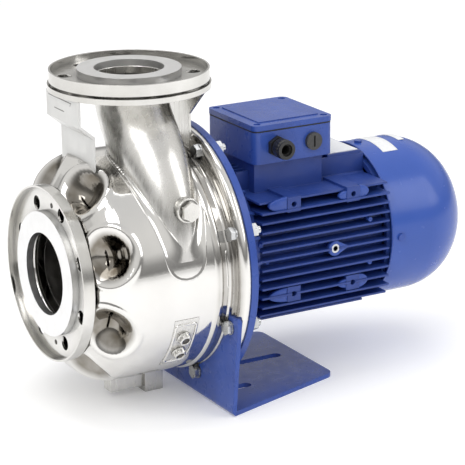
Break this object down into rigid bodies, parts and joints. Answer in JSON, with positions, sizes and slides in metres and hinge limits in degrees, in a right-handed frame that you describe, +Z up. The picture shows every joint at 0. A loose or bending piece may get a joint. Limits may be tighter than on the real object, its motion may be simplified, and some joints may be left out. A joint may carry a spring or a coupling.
{
  "type": "centrifugal pump",
  "caption": "Close-coupled end-suction centrifugal pump with pressed stainless casing, flanged ports and a finned, fan-cooled electric motor on a bent steel foot.",
  "frame": {"origin": "centre of the suction flange's sealing face, on the shaft axis", "axes": "+X along the shaft from the suction flange to the fan, +Z up along the discharge"},
  "size_m": [0.599, 0.341, 0.43],
  "materials": {
    "polished_steel": "mirror polished stainless steel",
    "satin_steel": "satin stainless steel",
    "blue_paint": "semi-gloss blue enamel",
    "zinc_steel": "bright zinc plated",
    "machined_steel": "ground steel",
    "lamination_steel": "laminated steel",
    "copper": "varnished copper",
    "black_plastic": "moulded black polyamide",
    "black_rubber": "black nitrile",
    "carbon": "carbon ring",
    "ceramic": "sintered ceramic",
    "label": "blank satin plate"
  },
  "bodies": {
    "housing": {"adapter_disc": "blue_paint", "blanking_plug": "black_plastic", "box_gasket": "black_rubber", "cable_gland_body": "black_plastic", "cable_gland_nut": "black_plastic", "cable_gland_seal": "black_rubber", "casing_bolts": "zinc_steel", "casing_lug": "satin_steel", "casing_nuts_and_washers": "zinc_steel", "casing_oring": "black_rubber", "discharge_backing_ring": "polished_steel", "discharge_face_ring": "polished_steel", "discharge_flange": "polished_steel", "discharge_neck": "satin_steel", "discharge_pipe": "satin_steel", "drain_pad": "satin_steel", "drain_plugs": "satin_steel", "drive_end_shield": "blue_paint", "fan_cover": "blue_paint", "filling_boss": "satin_steel", "filling_plug": "satin_steel", "foot_plate": "blue_paint", "front_bearing_outer_ring": "machined_steel", "front_bracket": "satin_steel", "lid_and_cover_screws": "zinc_steel", "lifting_inserts": "zinc_steel", "motor_frame": "blue_paint", "nameplate": "label", "pump_casing": "polished_steel", "rear_bearing_outer_ring": "machined_steel", "rear_end_shield": "blue_paint", "rear_gusset": "satin_steel", "seal_housing": "satin_steel", "seal_seat": "ceramic", "stator_core": "lamination_steel", "stator_windings": "copper", "suction_diaphragm": "satin_steel", "suction_face_ring": "polished_steel", "suction_flange": "polished_steel", "terminal_board": "black_plastic", "terminal_box": "blue_paint", "terminal_box_lid": "blue_paint", "wave_spring": "zinc_steel", "wear_ring": "satin_steel"},
    "rotating_assembly": {"shaft": "machined_steel", "impeller": "satin_steel", "impeller_key": "satin_steel", "impeller_nut": "satin_steel", "impeller_washer": "satin_steel", "seal_rotating_face": "carbon", "seal_collar": "satin_steel", "seal_bellows": "satin_steel", "shaft_deflector": "black_rubber", "rotor_core": "lamination_steel", "front_bearing_inner_ring": "machined_steel", "rear_bearing_inner_ring": "machined_steel", "cooling_fan": "black_plastic", "fan_clamp": "zinc_steel"},
    "front_ball_set": {"front_bearing_balls": "machined_steel"},
    "rear_ball_set": {"rear_bearing_balls": "machined_steel"}
  },
  "joints": [
    {"name": "shaft_spin", "type": "hinge", "parent": "housing", "child": "rotating_assembly", "pos_m": [0.232, 0, 0], "axis": [1, 0, 0], "continuous": true},
    {"name": "front_ball_spin", "type": "hinge", "parent": "housing", "child": "front_ball_set", "pos_m": [0.232, 0, 0], "axis": [1, 0, 0], "continuous": true},
    {"name": "rear_ball_spin", "type": "hinge", "parent": "housing", "child": "rear_ball_set", "pos_m": [0.454, 0, 0], "axis": [1, 0, 0], "continuous": true}
  ],
  "couplings": [
    {"joint": "front_ball_spin", "follows": "shaft_spin", "ratio": 0.4},
    {"joint": "rear_ball_spin", "follows": "shaft_spin", "ratio": 0.3979}
  ]
}
